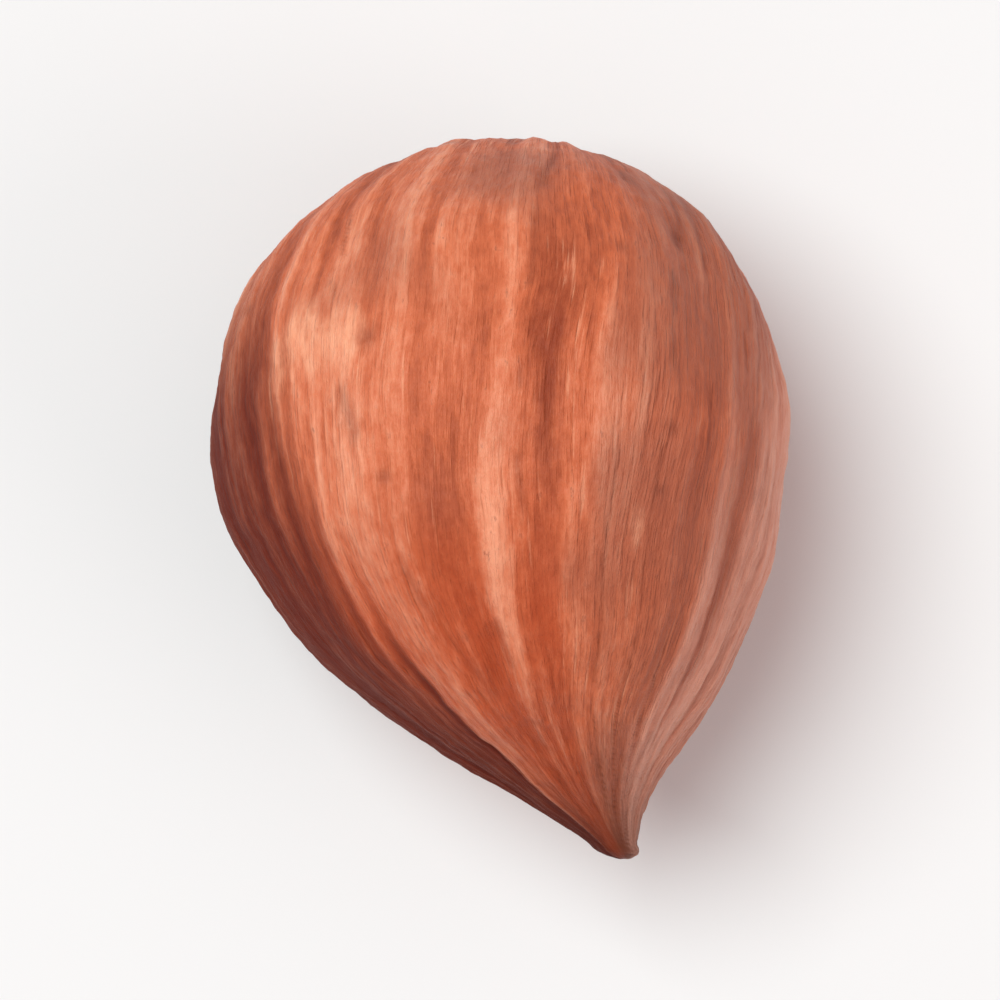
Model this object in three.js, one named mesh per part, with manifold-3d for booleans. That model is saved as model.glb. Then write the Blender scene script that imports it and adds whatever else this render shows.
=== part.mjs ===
// A shelled hazelnut kernel in its brown skin, lying on its side.
// Millimetres, +Z up. The blunt end faces +Y and the drawn-out tip faces -Y.
// The origin is on the surface that the kernel rests on, under the middle of its bounding box.

import * as THREE from "three";
import { mergeVertices } from "three/addons/utils/BufferGeometryUtils.js";
import Module from "manifold-3d";

const wasm = await Module();
wasm.setup();

// Driving dimensions
const LENGTH = 14.65; // blunt end to tip
const WIDTH = 11.65; // across X at the widest station
const HEIGHT = 11.1; // across Z at the widest station, before the resting spot is taken off
const BLUNT_END = 5.85; // from the blunt end to the widest station
const TIP_RADIUS = 0.5; // of the small nub that the kernel ends in
const TIP_CAP = 0.32; // length of the nub's rounded end
const TIP_LEAN = 2.43; // how far the tip bends towards +X
const LEAN_POWER = 2.55; // how late along the flank that bend comes
const FLANK_FULLNESS = 5; // how far the flank stays wide before it tapers
const FLARE_LENGTH = 2.35; // the way the flank leaves the tip: this far along the axis
const FLARE_WIDTH = 1.8; // and this far outwards
const SPOT_DEPTH = 0.25; // taken off the underside to give the flat resting spot

// Lengthwise swellings of the flesh: how many there are round the kernel, how high they stand,
// and where one of them peaks, as an angle from the top towards +X.
const SWELLINGS = [
  { count: 3, height: 0.16, peak: THREE.MathUtils.degToRad(15) },
  { count: 7, height: 0.045, peak: THREE.MathUtils.degToRad(-24) },
  { count: 12, height: 0.03, peak: THREE.MathUtils.degToRad(8) },
];

// Fineness of the faceted surface
const RINGS = 44;
const SEGMENTS = 72;
const WELD = 1e-3; // vertices closer than this are one vertex

const RADIUS = WIDTH / 2;
const WIDEST_Y = LENGTH - BLUNT_END; // measured from the tip

// Half of the kernel's outline, from the tip at the axis up to the blunt end at the axis.
function outline() {
  const path = new THREE.Path();
  path.absellipse(0, TIP_CAP, TIP_RADIUS, TIP_CAP, -Math.PI / 2, 0, false);
  path.bezierCurveTo(
    TIP_RADIUS + FLARE_WIDTH,
    TIP_CAP + FLARE_LENGTH,
    RADIUS,
    WIDEST_Y - FLANK_FULLNESS,
    RADIUS,
    WIDEST_Y,
  );
  path.absellipse(0, WIDEST_Y, RADIUS, BLUNT_END, 0, Math.PI / 2, false);
  const points = path.getSpacedPoints(RINGS);
  points[0].x = 0;
  points[RINGS].x = 0;
  return points;
}

// How much the lengthwise swellings add to the radius at an angle from the top.
function swelling(angle) {
  return SWELLINGS.reduce(
    (sum, { count, height, peak }) => sum + height * Math.cos(count * (angle - peak)),
    0,
  );
}

// Turns the round body into the kernel's own form: swollen lengthwise, a little flat, with a bent tip.
function grow(geometry) {
  const position = geometry.attributes.position;
  const point = new THREE.Vector3();
  for (let i = 0; i < position.count; i++) {
    point.fromBufferAttribute(position, i);
    const radius = Math.hypot(point.x, point.z);
    const angle = Math.atan2(point.x, point.z);
    const grown = radius + (swelling(angle) * radius) / RADIUS;
    const towardsTip = Math.max(0, 1 - point.y / WIDEST_Y);
    position.setXYZ(
      i,
      grown * Math.sin(angle) + TIP_LEAN * towardsTip ** LEAN_POWER,
      point.y,
      (grown * Math.cos(angle) * HEIGHT) / WIDTH,
    );
  }
  return geometry;
}

function solidOf(geometry) {
  const bare = geometry.clone();
  bare.deleteAttribute("normal");
  bare.deleteAttribute("uv");
  const merged = mergeVertices(bare, WELD);
  return new wasm.Manifold(
    new wasm.Mesh({
      numProp: 3,
      vertProperties: merged.attributes.position.array,
      triVerts: new Uint32Array(merged.index.array),
    }),
  );
}

function geometryOf(solid) {
  const { vertProperties, triVerts } = solid.getMesh();
  const geometry = new THREE.BufferGeometry();
  geometry.setAttribute("position", new THREE.BufferAttribute(vertProperties, 3));
  geometry.setIndex(new THREE.BufferAttribute(triVerts, 1));
  geometry.computeVertexNormals();
  return geometry;
}

// Takes the lowest part of the body off with a level cut, which leaves the flat resting spot.
function cutRestingSpot(geometry) {
  geometry.computeBoundingBox();
  const spotZ = geometry.boundingBox.min.z + SPOT_DEPTH;
  const below = new THREE.BoxGeometry(2 * LENGTH, 4 * LENGTH, LENGTH);
  below.translate(0, 0, spotZ - LENGTH / 2);
  return geometryOf(solidOf(geometry).subtract(solidOf(below)));
}

// Puts the middle of the bounding box over the origin, with the resting spot at Z = 0.
function standOnOrigin(geometry) {
  geometry.computeBoundingBox();
  const { min, max } = geometry.boundingBox;
  return geometry.translate(-(min.x + max.x) / 2, -(min.y + max.y) / 2, -min.z);
}

function kernel() {
  const body = grow(new THREE.LatheGeometry(outline(), SEGMENTS));
  const skin = new THREE.MeshStandardMaterial({ color: 0xbc6a50, roughness: 0.5, metalness: 0 });
  const mesh = new THREE.Mesh(standOnOrigin(cutRestingSpot(body)), skin);
  mesh.name = "hazelnut_kernel";
  return mesh;
}

const hazelnut = new THREE.Group();
hazelnut.add(kernel());

export default hazelnut;
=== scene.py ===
"""The looks of a shelled hazelnut kernel in its papery skin, lying on a pale floor and seen from above.

The kernel is shaped in millimetres. Its finished mesh, the lights and the camera are in metres.
The tip faces -Y and the blunt end +Y. Stations run along Y from the tip. Turns are degrees round the
kernel, from its top towards +X.
"""

import math

import bmesh
import bpy
import numpy as np
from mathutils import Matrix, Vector, noise


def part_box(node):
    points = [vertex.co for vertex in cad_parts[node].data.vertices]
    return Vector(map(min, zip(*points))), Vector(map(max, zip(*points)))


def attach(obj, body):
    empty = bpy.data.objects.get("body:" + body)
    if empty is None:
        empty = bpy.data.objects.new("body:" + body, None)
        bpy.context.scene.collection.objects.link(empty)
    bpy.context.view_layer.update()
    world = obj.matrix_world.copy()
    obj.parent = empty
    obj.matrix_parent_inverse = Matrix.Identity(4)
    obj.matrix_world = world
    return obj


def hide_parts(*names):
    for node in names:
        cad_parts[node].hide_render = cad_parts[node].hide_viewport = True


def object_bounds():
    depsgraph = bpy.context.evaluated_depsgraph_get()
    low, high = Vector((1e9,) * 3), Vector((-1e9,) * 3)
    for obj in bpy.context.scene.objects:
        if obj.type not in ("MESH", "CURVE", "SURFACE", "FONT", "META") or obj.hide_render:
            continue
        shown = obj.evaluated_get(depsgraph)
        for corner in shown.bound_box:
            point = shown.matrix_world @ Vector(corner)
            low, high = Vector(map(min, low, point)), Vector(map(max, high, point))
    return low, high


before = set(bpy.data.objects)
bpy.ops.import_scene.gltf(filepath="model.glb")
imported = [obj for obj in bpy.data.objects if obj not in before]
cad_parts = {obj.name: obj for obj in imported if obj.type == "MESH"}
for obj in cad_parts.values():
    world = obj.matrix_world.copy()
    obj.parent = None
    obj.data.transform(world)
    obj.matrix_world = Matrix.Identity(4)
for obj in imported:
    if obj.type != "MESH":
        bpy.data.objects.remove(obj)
cad_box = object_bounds()

MM = 0.001
NODE = "hazelnut_kernel"

# The kernel's own form: the frame gives its length, width and height, and these shape it between
BLUNT_END = 5.85  # from the blunt end to the widest station
TIP_RADIUS = 0.5  # of the small nub that the kernel ends in
TIP_CAP = 0.32  # length of the nub's rounded end
TIP_LEAN = 2.43  # how far the tip bends towards +X
LEAN_POWER = 2.55  # how late along the flank that bend comes
FLANK_FULLNESS = 5.0  # how far the flank stays wide before it tapers
FLARE_LENGTH = 2.35  # the way the flank leaves the tip: this far along the axis
FLARE_WIDTH = 1.8  # and this far outwards
SPOT_DEPTH = 0.25  # what the flat resting spot takes off the underside
SPOT_ROUNDING = 0.05  # how softly the flat spot's rim turns up
SPOT_REACH = 1.0  # height above which the flat spot changes nothing

# Lengthwise swellings of the flesh: count round the kernel, height, and the turn where one peaks
SWELLINGS = ((3, 0.16, 15), (7, 0.045, -24), (12, 0.03, 8))

# Fineness
FACE_CELLS = 128  # quads along an edge of the cube that the ball of quads is blown up from
OUTLINE_STEPS = 200
UV_MAP = "OFBake"
UV_FILL = 0.97  # how much of its tile each side of the cube takes on the map

# The grain of the skin runs from the tip to the chalaza, a scar low on the blunt end
CHALAZA = (0.06, -0.30)  # on a flat map of the ball whose middle is the blunt end, as (X, Z)
TINY = 1e-6  # keeps that map finite at the tip
GRAIN_WAVE_WIDTH = 0.045  # how far the grain wanders sideways

# Noise drawn out along the grain: size of its lumps, stretch, octaves, and where in the noise it starts
RIBS = (0.62, 13, 2, 0.0)
FIBRES = (0.30, 14, 2, 11.3)
VEINS = (1.1, 13, 1, 5.7)
FLAKES = (0.9, 4, 3, 8.4)

# Noise that is alike in all directions: size of its lumps, octaves, and where in the noise it starts
GRAIN_WAVE = (2.6, 1, 0.0)
VEIN_BREAKS = (1.1, 1, 3.1)
DULLNESS = (3.2, 2, 21.9)
LUMPS = (3.2, 2, 14.2)
CRUMPLE = (0.42, 3, 6.6)
SCAR_EDGE = (0.9, 2, 2.2)

# Relief
LUMP_HEIGHT = 0.045
RIB_HEIGHT = 0.022
FIBRE_HEIGHT = 0.010
CRUMPLE_HEIGHT = 0.007
FLAKE_HEIGHT = 0.008
FLAKE_LEVELS = (2.2, 3.8)  # levels of their noise between which flakes rise
VEIN_DEPTH = 0.022
VEIN_WIDTH = 0.14  # how near to zero the veins' noise is in a vein
VEIN_ENDS = (-0.6, 0.4)  # levels of the breaks' noise between which a vein comes in
CREST_TURN = 13.5
CREST_WIDTH = 20
CREST_HEIGHT = 0.16
CREST_ROUNDING = 0.25  # share of its width over which the crest's top is round
SCAR_RADIUS = 1.35
SCAR_RIM = 0.30
SCAR_DEPTH = 0.10
SCAR_RIM_HEIGHT = 0.05
SCAR_RAGGEDNESS = 0.12  # how far the scar's edge strays, as a share of its radius
SCAR_CALM = 0.7  # share of the ribs and veins that the scar takes away
TIP_RELIEF = 0.35  # share of the relief that is left at the tip
TIP_RELIEF_WAY = 3.0  # way along the skin from the tip to the full relief
TIP_MASK = (0.2, 1.5)  # stations between which the tip's darker skin gives way
PIT_COUNT = 60
PIT_RADIUS = (0.10, 0.22)
PIT_DEPTH = (0.01, 0.04)
SEED = 7

# Sectors along the grain: duller skin and painted shade right of the crest, painted shade on the lower
# left, and a painted reflection on the right rim. For each: the turns and the stations between which it
# lies, how many degrees the ribs make its sides stray, and how many degrees further towards +X it is at the
# tip
SECTORS = {
    # Greyer skin right of the crest, on the side away from the key light: partly duller skin, partly
    # painted shade
    "dull_and_shade": ((14, 50), (2.5, 14.0), 4, 0),
    # Redder, darker skin on the lower left towards the tip: painted shade
    "warm_shade": ((-140, 3), (-1.0, 4.5), 5, 0),
    # Dark red-brown band along the lower-left rim: painted shade
    "deep_shade": ((-140, -47), (-1.0, 9.5), 5, 28),
    # Pale veil along the right rim: painted reflection of the pale surroundings
    "pale_reflection": ((46, 108), (-1.0, 7.5), 5, -12),
}
SIDE_BLEND = 12  # degrees over which a sector blends in, on either side of its limit
END_BLEND = 4  # distance over which it fades out past its first and last stations

# Lighter and darker streaks of the seen side: middle as (X, Y), half width, half length, lightness
STREAKS = (
    ((-3.3, 3.6), 1.00, 1.8, 1.3),
    ((-3.0, 0.6), 0.95, 2.2, 0.9),
    ((-1.5, 4.2), 0.45, 3.4, 1.9),
    ((0.15, 0.8), 0.38, 2.9, 1.5),
    ((-2.05, 1.0), 0.30, 3.0, -0.9),
    ((-0.65, 1.2), 0.32, 3.0, -0.9),
    ((1.25, 4.0), 0.65, 2.4, -2.0),
    ((1.2, -2.2), 0.50, 2.8, 0.9),
    ((2.4, 3.0), 0.40, 2.2, 0.5),
    ((3.9, 0.8), 0.70, 3.0, -0.8),
    ((5.0, 1.0), 0.25, 0.8, -1.5),
    ((1.5, 0.8), 0.14, 0.4, -1.5),
    ((-1.0, -2.2), 0.40, 2.0, -0.7),
)

# A tan patch on the upper left of the seen side, partly corky skin and partly a painted highlight, and a
# dull one: middle as (X, Y), half width, half length
TAN_HIGHLIGHT_PATCH = ((-3.8, 3.2), 0.95, 1.35)
TAN_HIGHLIGHT_LIFT = 4.6  # what the patch, with its painted highlight, adds to the flakes' noise
DULL_PATCH = ((0.1, 6.5), 0.9, 1.1)
DULL_LIFT = 0.8  # what the patch adds to the mask of duller skin and painted shade
DULL_UNEVENNESS = 0.25  # what noise adds to the mask of duller skin and painted shade

# Colours of the skin, as sRGB, with painted shade, a painted reflection and a painted highlight among them
DARK_SKIN = (140, 58, 31)
MID_SKIN = (204, 105, 67)
LIGHT_SKIN = (236, 158, 124)
# Duller skin and painted shade right of the crest
DULL_SKIN_AND_SHADE = (150, 83, 62)
# Corky tan skin, also the colour of the painted highlight on the upper left
TAN_SKIN_AND_HIGHLIGHT = (240, 170, 134)
VEIN_SKIN = (108, 44, 26)
TIP_SKIN = (112, 50, 30)
SCAR_SKIN = (194, 138, 108)
# Painted shade on the lower left towards the tip
WARM_PAINTED_SHADE = (176, 66, 26)
# Painted shade of the lower-left rim
DEEP_PAINTED_SHADE = (96, 24, 6)
# Painted reflection on the right rim
PALE_PAINTED_REFLECTION = (214, 150, 128)

# Noise in the skin's material, drawn out along the grain: stretch, lumps in a millimetre, detail
STRANDS = (14, 2.8, 3)
HAIRS = (18, 8.0, 3)
FUZZ = (12, 24.0, 2)
SPECKS = (3, 7.0, 4)
NOISE_ROUGHNESS = 0.6
NOISE_MIDDLE = 0.5

# The skin's tone, from dark to light, is a sum of the ribs and these noises, each with its weight
RIB_TONE = 0.4
STRAND_TONE = 2.6
HAIR_TONE = 1.8
FUZZ_TONE = 0.7
SPECK_TONE = 2.4
DARK_TO_MID = (-2.2, 0.6)
MID_TO_LIGHT = (-0.3, 2.2)

# How strongly a colour covers the skin: one number, or a range of what steers it and the strengths there
SCUFF_COVER = (0.62, 0.76, 0.0, 0.4)  # steered by the hairs
PORE_COVER = (0.64, 0.74, 0.0, 0.45)  # steered by the specks
DULL_AND_SHADE_COVER = (0.1, 1.0, 0.0, 0.65)  # steered by the mask of duller skin and painted shade
# Corky flakes, and the painted highlight of the tan patch
FLAKE_AND_HIGHLIGHT_COVER = (0.3, 0.7, 0.28, 0.7)  # steered by the specks
VEIN_COVER = 0.4
PIT_COVER = 0.45
SCAR_COVER = (0.3, 0.6, 0.35, 0.9)  # steered by the specks
TIP_COVER = 0.6
# Painted shade on the lower left towards the tip
WARM_SHADE_COVER = (-1.2, 1.8, 0.65, 0.3)  # steered by the tone
# Painted shade of the lower-left rim, darkest where the tone is dark
DEEP_SHADE_COVER = (-1.2, 1.8, 0.97, 0.75)  # steered by the tone
# Painted reflection on the right rim
PALE_REFLECTION_COVER = (-1.6, 1.2, 0.25, 1.0)  # steered by the tone

# The skin's surface
ROUGHNESS = (-1.5, 1.5, 0.58, 0.42)  # two tones, and the roughness at each
DEEP_SHADE_ROUGHNESS = 0.2  # what the mask of painted shade on the lower-left rim adds
SKIN_SPECULAR = 0.22
SUBSURFACE_WEIGHT = 0.06
SUBSURFACE_RADIUS = (1.0, 0.35, 0.2)
SUBSURFACE_DEPTH = 0.5
CREASE_BUMP = -1.6
FUZZ_BUMP = 0.3
SPECK_BUMP = 0.9
BUMP_HEIGHT = 0.08

# The floor, the lights and the camera
FLOOR_SIDE = 4.0
FLOOR_COLOUR = (225, 225, 225)
FLOOR_ROUGHNESS = 0.9
FLOOR_SPECULAR = 0.1
WORLD_COLOUR = (1.0, 0.86, 0.85, 1.0)
WORLD_STRENGTH = 0.54
LENS = 200
FRAME_FILL = 0.72  # share of the picture's height that the kernel's length takes

# Soft lights: name, azimuth (0 from -Y, 90 from +X) and elevation in degrees, distance, size, power, colour
LIGHTS = (
    ("key", 237, 65, 1.2, 0.8, 12.6, (0.905, 1.0, 1.0)),
    ("right_fill", 70, 35, 1.3, 0.9, 3.0, (1.0, 0.88, 0.86)),
)


def shaped(value, start, stop):
    """0 before start and 1 after stop, or the other way round, with a smooth step between."""
    share = np.clip((value - start) / (stop - start), 0, 1)
    return share * share * (3 - 2 * share)


def bell(distance, width):
    """1 in the middle and fading on all sides of it."""
    return np.exp(-((distance / width) ** 2))


def roof(distance, width, rounding):
    """1 on a line and sloping off on both sides of it, with a narrow rounded top."""
    return np.exp(rounding - np.sqrt(rounding**2 + (distance / width) ** 2))


def noise_field(points, size, octaves, shift):
    """Noise with lumps of about this size, with a mean of 0 and a spread of 1."""
    places = (points / size + shift).tolist()
    field = np.array([noise.fractal(place, 1.0, 2.0, octaves) for place in places])
    return (field - field.mean()) / field.std()


def ball_of_quads():
    """A unit ball of even quads, with each side of the cube it comes from in its own tile of the UV map."""
    ball = bmesh.new()
    bmesh.ops.create_cube(ball, size=2)
    bmesh.ops.subdivide_edges(ball, edges=ball.edges[:], cuts=FACE_CELLS - 1, use_grid_fill=True)
    uv_map = ball.loops.layers.uv.new(UV_MAP)
    for face in ball.faces:
        middle = face.calc_center_median()
        axis = max(range(3), key=lambda i: abs(middle[i]))
        across, up = (i for i in range(3) if i != axis)
        row = 0 if middle[axis] < 0 else 1
        for loop in face.loops:
            place = loop.vert.co
            u = (axis + 0.5 + place[across] * UV_FILL / 2) / 3
            v = (row + 0.5 + place[up] * UV_FILL / 2) / 2
            loop[uv_map].uv = (u, v)
    for vert in ball.verts:
        vert.co = Vector(math.tan(c * math.pi / 4) for c in vert.co).normalized()
    mesh = bpy.data.meshes.new(NODE)
    ball.to_mesh(mesh)
    ball.free()
    return mesh


def vectors_of(mesh, name):
    """The places ("co") or the normals ("normal") of a mesh's vertices, a row for each."""
    values = np.empty(len(mesh.vertices) * 3)
    mesh.vertices.foreach_get(name, values)
    return values.reshape(-1, 3)


def outline(length, radius):
    """Half of the kernel's outline from the tip: the distance along it, its radius and its station."""
    widest = length - BLUNT_END
    turn = np.linspace(0, np.pi / 2, OUTLINE_STEPS)
    t = np.linspace(0, 1, OUTLINE_STEPS)
    corners = np.array(
        [
            (TIP_RADIUS, TIP_CAP),
            (TIP_RADIUS + FLARE_WIDTH, TIP_CAP + FLARE_LENGTH),
            (radius, widest - FLANK_FULLNESS),
            (radius, widest),
        ]
    )
    weights = np.stack([(1 - t) ** 3, 3 * t * (1 - t) ** 2, 3 * t**2 * (1 - t), t**3], axis=1)
    cap = np.stack([TIP_RADIUS * np.sin(turn), TIP_CAP * (1 - np.cos(turn))], axis=1)
    end = np.stack([radius * np.cos(turn), widest + BLUNT_END * np.sin(turn)], axis=1)
    line = np.concatenate([cap, (weights @ corners)[1:], end[1:]])
    steps = np.linalg.norm(np.diff(line, axis=0), axis=1)
    return np.concatenate([[0], np.cumsum(steps)]), line[:, 0], line[:, 1]


class Form:
    """The kernel's smooth form in millimetres, and where each of its vertices lies on the skin."""

    def __init__(self, ball):
        low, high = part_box(NODE)
        width, self.length, height = (high - low) / MM
        height += SPOT_DEPTH
        self.radius = width / 2
        along, radii, stations = outline(self.length, self.radius)
        self.way = np.arccos(-ball[:, 1]) / np.pi * along[-1]
        self.station = np.interp(self.way, along, stations)
        reach = np.interp(self.way, along, radii)
        angle = np.arctan2(ball[:, 0], ball[:, 2])
        swelling = sum(h * np.cos(n * (angle - math.radians(a))) for n, h, a in SWELLINGS)
        grown = reach * (1 + swelling / self.radius)
        to_tip = np.clip(1 - self.station / (self.length - BLUNT_END), 0, 1)
        self.places = np.stack(
            [
                grown * np.sin(angle) + TIP_LEAN * to_tip**LEAN_POWER,
                self.station,
                grown * np.cos(angle) * height / width,
            ],
            axis=1,
        )
        self.places -= (self.places.min(0) + self.places.max(0)) / 2
        self.places[:, 2] -= self.places[:, 2].min() + SPOT_DEPTH
        self.lay_grain(ball)

    def lay_grain(self, ball):
        """The grain's turn round the kernel, and points that follow it: round a drum and along the way."""
        flat = ball[:, [0, 2]] / np.maximum(1 + ball[:, 1:2], TINY)
        side = flat - np.array(CHALAZA)
        turn = np.arctan2(side[:, 0], side[:, 1])
        square = CHALAZA[0] ** 2 + CHALAZA[1] ** 2
        chalaza = np.array([2 * CHALAZA[0], 1 - square, 2 * CHALAZA[1]]) / (1 + square)
        scar = self.places[np.linalg.norm(ball - chalaza, axis=1).argmin()]
        self.scar_distance = np.linalg.norm(self.places - scar, axis=1)
        wave = GRAIN_WAVE_WIDTH * noise_field(self.places, *GRAIN_WAVE)
        self.turn = turn + wave / self.radius
        around = self.radius * np.stack([np.sin(self.turn), np.cos(self.turn)], axis=1)
        self.grain = np.column_stack([around, self.way])

    def streaky(self, size, stretch, octaves, shift):
        """Noise drawn out along the grain."""
        return noise_field(self.grain / np.array([1, 1, stretch]), size, octaves, shift)

    def sector(self, ribs, turns, stations, straying, tip_turn):
        """A soft-edged part between two turns and two stations, whose sides stray with the ribs."""
        to_tip = shaped(self.station, self.length / 2, 0)
        turn = np.degrees(self.turn) + straying * ribs - tip_turn * to_tip
        sides = shaped(turn, turns[0] - SIDE_BLEND, turns[0] + SIDE_BLEND)
        sides *= shaped(turn, turns[1] + SIDE_BLEND, turns[1] - SIDE_BLEND)
        ends = shaped(self.station, stations[0] - END_BLEND, stations[0])
        ends *= shaped(self.station, stations[1] + END_BLEND, stations[1])
        return sides * ends

    def mark(self, middle, half_width, half_length):
        """A soft oval along the grain, round the place that shows at this (X, Y) from above."""
        underside = np.where(self.places[:, 2] > self.radius, 0, self.length)
        gap = np.linalg.norm(self.places[:, :2] - np.array(middle), axis=1) + underside
        nearest = gap.argmin()
        across = np.linalg.norm(self.grain[:, :2] - self.grain[nearest, :2], axis=1)
        return bell(across, half_width) * bell(self.way - self.way[nearest], half_length)


def pits(form, rng):
    """How deep and how dark the small pits of the skin are at each vertex."""
    depth = np.zeros(len(form.places))
    shade = np.zeros(len(form.places))
    for _ in range(PIT_COUNT):
        middle = form.places[rng.integers(len(form.places))]
        radius = rng.uniform(*PIT_RADIUS)
        dent = bell(np.linalg.norm(form.places - middle, axis=1), radius)
        depth += rng.uniform(*PIT_DEPTH) * dent
        shade = np.maximum(shade, dent)
    return depth, shade


def skin(form):
    """The skin's relief in millimetres, and the masks that its colours follow, by name."""
    ribs = form.streaky(*RIBS)
    for *place, lightness in STREAKS:
        ribs += lightness * form.mark(*place)
    fibres = -np.abs(form.streaky(*FIBRES))
    veins = bell(form.streaky(*VEINS), VEIN_WIDTH)
    veins *= shaped(noise_field(form.places, *VEIN_BREAKS), *VEIN_ENDS)
    # The tan patch lifts the flakes on the upper left: partly corky skin, partly a painted highlight
    flakes_and_highlight = shaped(form.streaky(*FLAKES) + TAN_HIGHLIGHT_LIFT * form.mark(*TAN_HIGHLIGHT_PATCH), *FLAKE_LEVELS)
    lumps = noise_field(form.places, *LUMPS)
    crumple = noise_field(form.places, *CRUMPLE)
    crest = roof(form.turn - math.radians(CREST_TURN), math.radians(CREST_WIDTH), CREST_ROUNDING)
    crest *= np.sin(np.pi * form.way / form.way.max())
    edge = SCAR_RADIUS * (1 + SCAR_RAGGEDNESS * noise_field(form.places, *SCAR_EDGE))
    scar = shaped(form.scar_distance, edge + SCAR_RIM, edge - SCAR_RIM)
    rim = bell(form.scar_distance - edge - SCAR_RIM, SCAR_RIM)
    calm = 1 - SCAR_CALM * scar
    pit_depth, pit_shade = pits(form, np.random.default_rng(SEED))
    relief = (
        LUMP_HEIGHT * lumps
        + CREST_HEIGHT * crest
        + RIB_HEIGHT * ribs * calm
        + FIBRE_HEIGHT * fibres
        + CRUMPLE_HEIGHT * crumple
        + FLAKE_HEIGHT * flakes_and_highlight
        + SCAR_RIM_HEIGHT * rim
        - VEIN_DEPTH * veins * calm
        - SCAR_DEPTH * scar
        - pit_depth
    )
    relief *= TIP_RELIEF + (1 - TIP_RELIEF) * shaped(form.way, 0, TIP_RELIEF_WAY)
    # Sector masks: duller skin and painted shade right of the crest, painted shade on the lower left, a
    # painted reflection on the right rim
    masks = {name: form.sector(ribs, *limits) for name, limits in SECTORS.items()}
    # Duller skin and painted shade right of the crest, made uneven by noise and the dull patch
    masks["dull_and_shade"] += DULL_UNEVENNESS * noise_field(form.places, *DULLNESS)
    masks["dull_and_shade"] += DULL_LIFT * form.mark(*DULL_PATCH)
    masks["rib"] = ribs
    masks["vein"] = veins
    masks["flake_and_highlight"] = flakes_and_highlight
    masks["scar"] = scar
    masks["pit"] = pit_shade
    masks["tip"] = shaped(form.station, TIP_MASK[1], TIP_MASK[0])
    return relief, masks


def linked(name, data):
    """A new object in the scene."""
    made = bpy.data.objects.new(name, data)
    bpy.context.scene.collection.objects.link(made)
    return made


def kernel():
    """The kernel as one closed mesh, with its relief in the mesh and its masks as attributes."""
    mesh = ball_of_quads()
    form = Form(vectors_of(mesh, "co"))
    mesh.vertices.foreach_set("co", form.places.ravel())
    mesh.update()
    relief, masks = skin(form)
    places = form.places + vectors_of(mesh, "normal") * relief[:, None]
    height = places[:, 2]
    settled = (height + np.sqrt(height**2 + SPOT_ROUNDING**2)) / 2
    places[:, 2] = np.where(height > SPOT_REACH, height, settled)
    places[:, 2] -= places[:, 2].min()
    mesh.vertices.foreach_set("co", (places * MM).ravel())
    mesh.polygons.foreach_set("use_smooth", np.ones(len(mesh.polygons), bool))
    for name, values in masks.items():
        mesh.attributes.new(name, "FLOAT", "POINT").data.foreach_set("value", values)
    mesh.attributes.new("grain", "FLOAT_VECTOR", "POINT").data.foreach_set("vector", form.grain.ravel())
    mesh.update()
    return linked("kernel", mesh)


def linear(colour):
    """An sRGB colour of 0 to 255 as the linear colour that a shader takes."""
    shares = (c / 255 for c in colour)
    return (*(s / 12.92 if s <= 0.04045 else ((s + 0.055) / 1.055) ** 2.4 for s in shares), 1)


class Nodes:
    """Adds nodes to a material and links them up."""

    MIX_FACTOR = 0
    MIX_COLOURS = (6, 7)
    MIX_RESULT = 2

    def __init__(self, name):
        self.material = bpy.data.materials.new(name)
        self.material.use_nodes = True
        self.tree = self.material.node_tree
        self.shader = self.tree.nodes["Principled BSDF"]

    def add(self, kind, inputs, **settings):
        made = self.tree.nodes.new(kind)
        for name, value in settings.items():
            setattr(made, name, value)
        for name, value in inputs.items():
            self.set(made, name, value)
        return made

    def set(self, made, name, value):
        if isinstance(value, bpy.types.NodeSocket):
            self.tree.links.new(value, made.inputs[name])
        else:
            made.inputs[name].default_value = value

    def attribute(self, name):
        return self.add("ShaderNodeAttribute", {}, attribute_name=name)

    def mask(self, name):
        return self.attribute(name).outputs["Fac"]

    def math(self, operation, *values):
        return self.add("ShaderNodeMath", dict(enumerate(values)), operation=operation).outputs[0]

    def between(self, value, low, high, to_low=0.0, to_high=1.0):
        """The value as it goes from low to high, mapped smoothly and held at both ends."""
        inputs = {"Value": value, "From Min": low, "From Max": high, "To Min": to_low, "To Max": to_high}
        return self.add("ShaderNodeMapRange", inputs, interpolation_type="SMOOTHSTEP").outputs["Result"]

    def mix(self, factor, first, second):
        inputs = {self.MIX_FACTOR: factor, self.MIX_COLOURS[0]: first, self.MIX_COLOURS[1]: second}
        return self.add("ShaderNodeMix", inputs, data_type="RGBA").outputs[self.MIX_RESULT]

    def streaky(self, place, stretch, scale, detail):
        """Noise drawn out along the grain."""
        drawn_out = {0: place, 1: (1, 1, 1 / stretch)}
        place = self.add("ShaderNodeVectorMath", drawn_out, operation="MULTIPLY").outputs["Vector"]
        inputs = {"Vector": place, "Scale": scale, "Detail": detail, "Roughness": NOISE_ROUGHNESS}
        return self.add("ShaderNodeTexNoise", inputs).outputs["Fac"]


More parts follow.
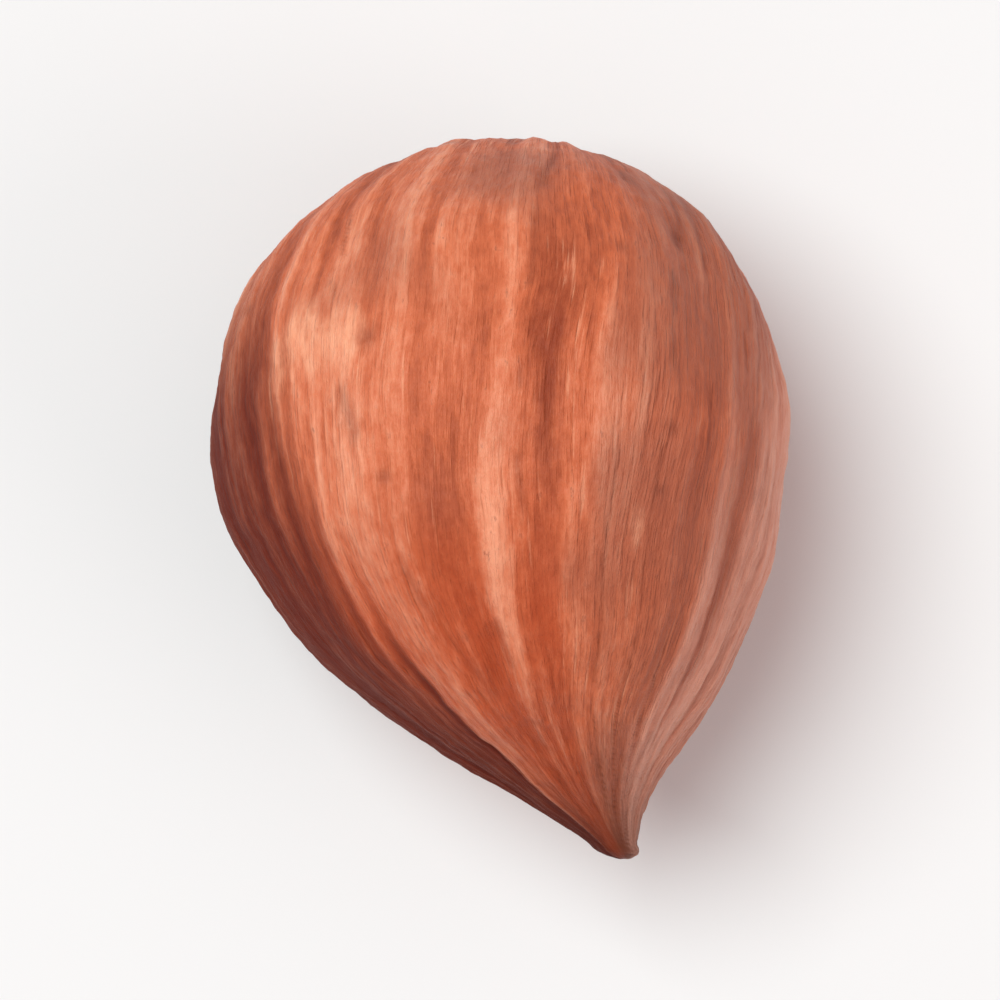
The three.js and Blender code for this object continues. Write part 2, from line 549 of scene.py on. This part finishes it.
def kernel_skin():
    """Papery brown skin, paler on its ribs, darker in its veins and pits, tan where it is corky, with
    painted shade right of the crest and on the lower left, a painted reflection on the right rim and a
    painted highlight.
    """
    nodes = Nodes("kernel_skin")
    grain = nodes.attribute("grain").outputs["Vector"]
    strands = nodes.streaky(grain, *STRANDS)
    hairs = nodes.streaky(grain, *HAIRS)
    fuzz = nodes.streaky(grain, *FUZZ)
    specks = nodes.streaky(grain, *SPECKS)
    tone = nodes.math("MULTIPLY", nodes.mask("rib"), RIB_TONE)
    weighted = ((strands, STRAND_TONE), (hairs, HAIR_TONE), (fuzz, FUZZ_TONE), (specks, SPECK_TONE))
    for layer, weight in weighted:
        tone = nodes.math("MULTIPLY_ADD", nodes.math("SUBTRACT", layer, NOISE_MIDDLE), weight, tone)

    colour = nodes.mix(nodes.between(tone, *DARK_TO_MID), linear(DARK_SKIN), linear(MID_SKIN))
    colour = nodes.mix(nodes.between(tone, *MID_TO_LIGHT), colour, linear(LIGHT_SKIN))
    colour = nodes.mix(nodes.between(hairs, *SCUFF_COVER), colour, linear(TAN_SKIN_AND_HIGHLIGHT))
    colour = nodes.mix(nodes.between(specks, *PORE_COVER), colour, linear(VEIN_SKIN))
    # Duller skin and painted shade right of the crest
    colour = nodes.mix(nodes.between(nodes.mask("dull_and_shade"), *DULL_AND_SHADE_COVER), colour, linear(DULL_SKIN_AND_SHADE))
    coats = (
        # Corky flakes, and the painted highlight of the tan patch on the upper left
        ("flake_and_highlight", nodes.between(specks, *FLAKE_AND_HIGHLIGHT_COVER), TAN_SKIN_AND_HIGHLIGHT),
        ("vein", VEIN_COVER, VEIN_SKIN),
        ("pit", PIT_COVER, VEIN_SKIN),
        ("scar", nodes.between(specks, *SCAR_COVER), SCAR_SKIN),
        ("tip", TIP_COVER, TIP_SKIN),
        # Painted shade on the lower left towards the tip
        ("warm_shade", nodes.between(tone, *WARM_SHADE_COVER), WARM_PAINTED_SHADE),
        # Painted shade along the lower-left rim
        ("deep_shade", nodes.between(tone, *DEEP_SHADE_COVER), DEEP_PAINTED_SHADE),
        # Painted reflection along the right rim
        ("pale_reflection", nodes.between(tone, *PALE_REFLECTION_COVER), PALE_PAINTED_REFLECTION),
    )
    for name, strength, shade in coats:
        colour = nodes.mix(nodes.math("MULTIPLY", nodes.mask(name), strength), colour, linear(shade))
    nodes.set(nodes.shader, "Base Color", colour)

    roughness = nodes.between(tone, *ROUGHNESS)
    # Rougher where the lower-left rim's painted shade lies
    roughness = nodes.math("MULTIPLY_ADD", nodes.mask("deep_shade"), DEEP_SHADE_ROUGHNESS, roughness)
    nodes.set(nodes.shader, "Roughness", roughness)
    nodes.set(nodes.shader, "Specular IOR Level", SKIN_SPECULAR)
    nodes.set(nodes.shader, "Subsurface Weight", SUBSURFACE_WEIGHT)
    nodes.set(nodes.shader, "Subsurface Radius", SUBSURFACE_RADIUS)
    nodes.set(nodes.shader, "Subsurface Scale", SUBSURFACE_DEPTH * MM)

    creases = nodes.math("ABSOLUTE", nodes.math("SUBTRACT", hairs, NOISE_MIDDLE))
    height = nodes.math("MULTIPLY_ADD", creases, CREASE_BUMP, strands)
    height = nodes.math("MULTIPLY_ADD", fuzz, FUZZ_BUMP, height)
    height = nodes.math("MULTIPLY_ADD", specks, SPECK_BUMP, height)
    bump = nodes.add("ShaderNodeBump", {"Height": height, "Strength": 1.0, "Distance": BUMP_HEIGHT * MM})
    nodes.set(nodes.shader, "Normal", bump.outputs["Normal"])
    return nodes.material


def floor():
    """A wide pale floor, level with the kernel's resting spot."""
    mesh = bpy.data.meshes.new("floor")
    half = FLOOR_SIDE / 2
    corners = [(-half, -half, 0), (half, -half, 0), (half, half, 0), (-half, half, 0)]
    mesh.from_pydata(corners, [], [(0, 1, 2, 3)])
    nodes = Nodes("floor_white")
    nodes.set(nodes.shader, "Base Color", linear(FLOOR_COLOUR))
    nodes.set(nodes.shader, "Roughness", FLOOR_ROUGHNESS)
    nodes.set(nodes.shader, "Specular IOR Level", FLOOR_SPECULAR)
    mesh.materials.append(nodes.material)
    made = linked("floor", mesh)


def direction(azimuth, elevation):
    """The way from the origin to something at this azimuth and elevation."""
    a = math.radians(azimuth)
    e = math.radians(elevation)
    return Vector((math.sin(a) * math.cos(e), -math.cos(a) * math.cos(e), math.sin(e)))


def lights():
    """Two soft lights that face the origin, and an even glow from all round."""
    for name, azimuth, elevation, distance, size, power, colour in LIGHTS:
        lamp = bpy.data.lights.new(name, "AREA")
        lamp.shape = "DISK"
        lamp.size = size
        lamp.energy = power
        lamp.color = colour
        made = linked(name, lamp)
        away = direction(azimuth, elevation)
        made.location = away * distance
        made.rotation_euler = away.to_track_quat("Z", "Y").to_euler()
    world = bpy.data.worlds.new("studio")
    world.use_nodes = True
    background = world.node_tree.nodes["Background"]
    background.inputs["Color"].default_value = WORLD_COLOUR
    background.inputs["Strength"].default_value = WORLD_STRENGTH
    bpy.context.scene.world = world


def camera():
    """Looks straight down, with the blunt end up in the picture, as in the photograph."""
    low, high = cad_box
    data = bpy.data.cameras.new("camera")
    data.lens = LENS
    data.clip_start = MM
    distance = (high.y - low.y) / FRAME_FILL * LENS / data.sensor_width
    made = linked("camera", data)
    made.location = (low + high) / 2 + Vector((0, 0, distance))
    bpy.context.scene.camera = made


bpy.context.scene.view_settings.view_transform = "Standard"
piece = kernel()
piece.data.materials.append(kernel_skin())
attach(piece, "root")
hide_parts(NODE)
floor()
lights()
camera()
